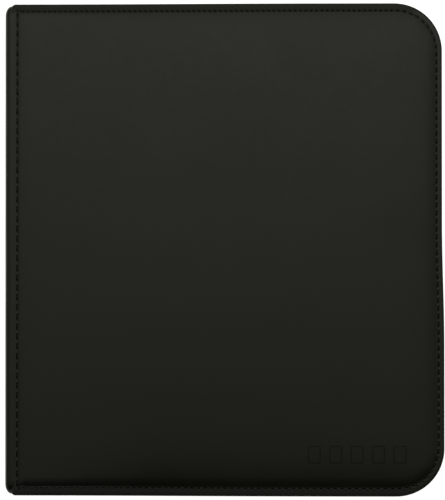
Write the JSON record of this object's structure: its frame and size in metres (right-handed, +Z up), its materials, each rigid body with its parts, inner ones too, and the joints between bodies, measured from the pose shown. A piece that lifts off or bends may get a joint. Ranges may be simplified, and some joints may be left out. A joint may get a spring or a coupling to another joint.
{
  "type": "trading card binder",
  "caption": "Zip-round padded leatherette binder with soft spine and side-loading clear pocket pages for trading cards.",
  "frame": {"origin": "middle of the outer face of the back cover, which lies on the table", "axes": "+X from the spine to the opening edge, +Y up the page, +Z up through the thickness from the back cover to the front cover"},
  "size_m": [0.32, 0.36, 0.038],
  "materials": {
    "leatherette": "fine grained, satin",
    "padding_foam": "matte",
    "stiff_board": "matte",
    "lining_fabric": "woven, matte",
    "zip_tape": "woven, matte",
    "zip_coil": "satin",
    "page_backing": "matte",
    "pocket_film": "clear, glossy",
    "binding_cloth": "woven, matte",
    "slider_metal": "dark gunmetal, satin",
    "spacer_board": "matte"
  },
  "bodies": {
    "back_cover": {"back_skin": "leatherette", "back_foam": "padding_foam", "back_board": "stiff_board", "back_lining": "lining_fabric", "back_zip_tape": "zip_tape", "back_zip_coil": "zip_coil"},
    "spine": {"spine_skin": "leatherette", "spine_board": "stiff_board", "spine_lining": "lining_fabric", "binding_tape": "binding_cloth", "page_tabs": "page_backing", "tab_spacers": "spacer_board"},
    "front_cover": {"front_skin": "leatherette", "front_foam": "padding_foam", "front_board": "stiff_board", "front_lining": "lining_fabric", "front_zip_tape": "zip_tape", "front_zip_coil": "zip_coil"},
    "slider": {"zip_slider": "slider_metal"},
    "pull_tab": {"zip_pull": "slider_metal"},
    "leaf_01": {"page_01": "page_backing", "page_01_pockets": "pocket_film"},
    "leaf_02": {"page_02": "page_backing", "page_02_pockets": "pocket_film"},
    "leaf_03": {"page_03": "page_backing", "page_03_pockets": "pocket_film"},
    "leaf_04": {"page_04": "page_backing", "page_04_pockets": "pocket_film"},
    "leaf_05": {"page_05": "page_backing", "page_05_pockets": "pocket_film"},
    "leaf_06": {"page_06": "page_backing", "page_06_pockets": "pocket_film"},
    "leaf_07": {"page_07": "page_backing", "page_07_pockets": "pocket_film"},
    "leaf_08": {"page_08": "page_backing", "page_08_pockets": "pocket_film"},
    "leaf_09": {"page_09": "page_backing", "page_09_pockets": "pocket_film"},
    "leaf_10": {"page_10": "page_backing", "page_10_pockets": "pocket_film"},
    "leaf_11": {"page_11": "page_backing", "page_11_pockets": "pocket_film"},
    "leaf_12": {"page_12": "page_backing", "page_12_pockets": "pocket_film"},
    "leaf_13": {"page_13": "page_backing", "page_13_pockets": "pocket_film"},
    "leaf_14": {"page_14": "page_backing", "page_14_pockets": "pocket_film"},
    "leaf_15": {"page_15": "page_backing", "page_15_pockets": "pocket_film"},
    "leaf_16": {"page_16": "page_backing", "page_16_pockets": "pocket_film"},
    "leaf_17": {"page_17": "page_backing", "page_17_pockets": "pocket_film"},
    "leaf_18": {"page_18": "page_backing", "page_18_pockets": "pocket_film"},
    "leaf_19": {"page_19": "page_backing", "page_19_pockets": "pocket_film"},
    "leaf_20": {"page_20": "page_backing", "page_20_pockets": "pocket_film"}
  },
  "joints": [
    {"name": "spine_hinge", "type": "hinge", "parent": "back_cover", "child": "spine", "pos_m": [-0.15893, 0, 0.00207], "axis": [0, -1, 0], "range_deg": [0, 90]},
    {"name": "front_cover_hinge", "type": "hinge", "parent": "spine", "child": "front_cover", "pos_m": [-0.15893, 0, 0.03593], "axis": [0, -1, 0], "range_deg": [0, 90]},
    {"name": "leaf_01_turn", "type": "hinge", "parent": "spine", "child": "leaf_01", "pos_m": [-0.15115, 0, 0.02915], "axis": [0, -1, 0], "range_deg": [0, 90]},
    {"name": "leaf_02_turn", "type": "hinge", "parent": "spine", "child": "leaf_02", "pos_m": [-0.15045, 0, 0.02845], "axis": [0, -1, 0], "range_deg": [0, 90]},
    {"name": "leaf_03_turn", "type": "hinge", "parent": "spine", "child": "leaf_03", "pos_m": [-0.14975, 0, 0.02775], "axis": [0, -1, 0], "range_deg": [0, 90]},
    {"name": "leaf_04_turn", "type": "hinge", "parent": "spine", "child": "leaf_04", "pos_m": [-0.14905, 0, 0.02705], "axis": [0, -1, 0], "range_deg": [0, 90]},
    {"name": "leaf_05_turn", "type": "hinge", "parent": "spine", "child": "leaf_05", "pos_m": [-0.14835, 0, 0.02635], "axis": [0, -1, 0], "range_deg": [0, 90]},
    {"name": "leaf_06_turn", "type": "hinge", "parent": "spine", "child": "leaf_06", "pos_m": [-0.14765, 0, 0.02565], "axis": [0, -1, 0], "range_deg": [0, 90]},
    {"name": "leaf_07_turn", "type": "hinge", "parent": "spine", "child": "leaf_07", "pos_m": [-0.14695, 0, 0.02495], "axis": [0, -1, 0], "range_deg": [0, 90]},
    {"name": "leaf_08_turn", "type": "hinge", "parent": "spine", "child": "leaf_08", "pos_m": [-0.14625, 0, 0.02425], "axis": [0, -1, 0], "range_deg": [0, 90]},
    {"name": "leaf_09_turn", "type": "hinge", "parent": "spine", "child": "leaf_09", "pos_m": [-0.14555, 0, 0.02355], "axis": [0, -1, 0], "range_deg": [0, 90]},
    {"name": "leaf_10_turn", "type": "hinge", "parent": "spine", "child": "leaf_10", "pos_m": [-0.14485, 0, 0.02285], "axis": [0, -1, 0], "range_deg": [0, 90]},
    {"name": "leaf_11_turn", "type": "hinge", "parent": "spine", "child": "leaf_11", "pos_m": [-0.14485, 0, 0.01515], "axis": [0, -1, 0], "range_deg": [-90, 0]},
    {"name": "leaf_12_turn", "type": "hinge", "parent": "spine", "child": "leaf_12", "pos_m": [-0.14555, 0, 0.01445], "axis": [0, -1, 0], "range_deg": [-90, 0]},
    {"name": "leaf_13_turn", "type": "hinge", "parent": "spine", "child": "leaf_13", "pos_m": [-0.14625, 0, 0.01375], "axis": [0, -1, 0], "range_deg": [-90, 0]},
    {"name": "leaf_14_turn", "type": "hinge", "parent": "spine", "child": "leaf_14", "pos_m": [-0.14695, 0, 0.01305], "axis": [0, -1, 0], "range_deg": [-90, 0]},
    {"name": "leaf_15_turn", "type": "hinge", "parent": "spine", "child": "leaf_15", "pos_m": [-0.14765, 0, 0.01235], "axis": [0, -1, 0], "range_deg": [-90, 0]},
    {"name": "leaf_16_turn", "type": "hinge", "parent": "spine", "child": "leaf_16", "pos_m": [-0.14835, 0, 0.01165], "axis": [0, -1, 0], "range_deg": [-90, 0]},
    {"name": "leaf_17_turn", "type": "hinge", "parent": "spine", "child": "leaf_17", "pos_m": [-0.14905, 0, 0.01095], "axis": [0, -1, 0], "range_deg": [-90, 0]},
    {"name": "leaf_18_turn", "type": "hinge", "parent": "spine", "child": "leaf_18", "pos_m": [-0.14975, 0, 0.01025], "axis": [0, -1, 0], "range_deg": [-90, 0]},
    {"name": "leaf_19_turn", "type": "hinge", "parent": "spine", "child": "leaf_19", "pos_m": [-0.15045, 0, 0.00955], "axis": [0, -1, 0], "range_deg": [-90, 0]},
    {"name": "leaf_20_turn", "type": "hinge", "parent": "spine", "child": "leaf_20", "pos_m": [-0.15115, 0, 0.00885], "axis": [0, -1, 0], "range_deg": [-90, 0]},
    {"name": "zip_slide", "type": "slide", "parent": "back_cover", "child": "slider", "axis": [1, 0, 0], "range_m": [0, 0.245]},
    {"name": "pull_swing", "type": "hinge", "parent": "slider", "child": "pull_tab", "pos_m": [-0.132, -0.17805, 0.019], "axis": [0, 0, -1], "range_deg": [0, 170]}
  ],
  "couplings": [
    {"joint": "leaf_01_turn", "follows": "front_cover_hinge", "ratio": 0.98},
    {"joint": "leaf_02_turn", "follows": "front_cover_hinge", "ratio": 0.96},
    {"joint": "leaf_03_turn", "follows": "front_cover_hinge", "ratio": 0.94},
    {"joint": "leaf_04_turn", "follows": "front_cover_hinge", "ratio": 0.92},
    {"joint": "leaf_05_turn", "follows": "front_cover_hinge", "ratio": 0.9},
    {"joint": "leaf_06_turn", "follows": "front_cover_hinge", "ratio": 0.88},
    {"joint": "leaf_07_turn", "follows": "front_cover_hinge", "ratio": 0.86},
    {"joint": "leaf_08_turn", "follows": "front_cover_hinge", "ratio": 0.84},
    {"joint": "leaf_09_turn", "follows": "front_cover_hinge", "ratio": 0.82},
    {"joint": "leaf_10_turn", "follows": "front_cover_hinge", "ratio": 0.8},
    {"joint": "leaf_11_turn", "follows": "spine_hinge", "ratio": -0.8},
    {"joint": "leaf_12_turn", "follows": "spine_hinge", "ratio": -0.82},
    {"joint": "leaf_13_turn", "follows": "spine_hinge", "ratio": -0.84},
    {"joint": "leaf_14_turn", "follows": "spine_hinge", "ratio": -0.86},
    {"joint": "leaf_15_turn", "follows": "spine_hinge", "ratio": -0.88},
    {"joint": "leaf_16_turn", "follows": "spine_hinge", "ratio": -0.9},
    {"joint": "leaf_17_turn", "follows": "spine_hinge", "ratio": -0.92},
    {"joint": "leaf_18_turn", "follows": "spine_hinge", "ratio": -0.94},
    {"joint": "leaf_19_turn", "follows": "spine_hinge", "ratio": -0.96},
    {"joint": "leaf_20_turn", "follows": "spine_hinge", "ratio": -0.98}
  ]
}
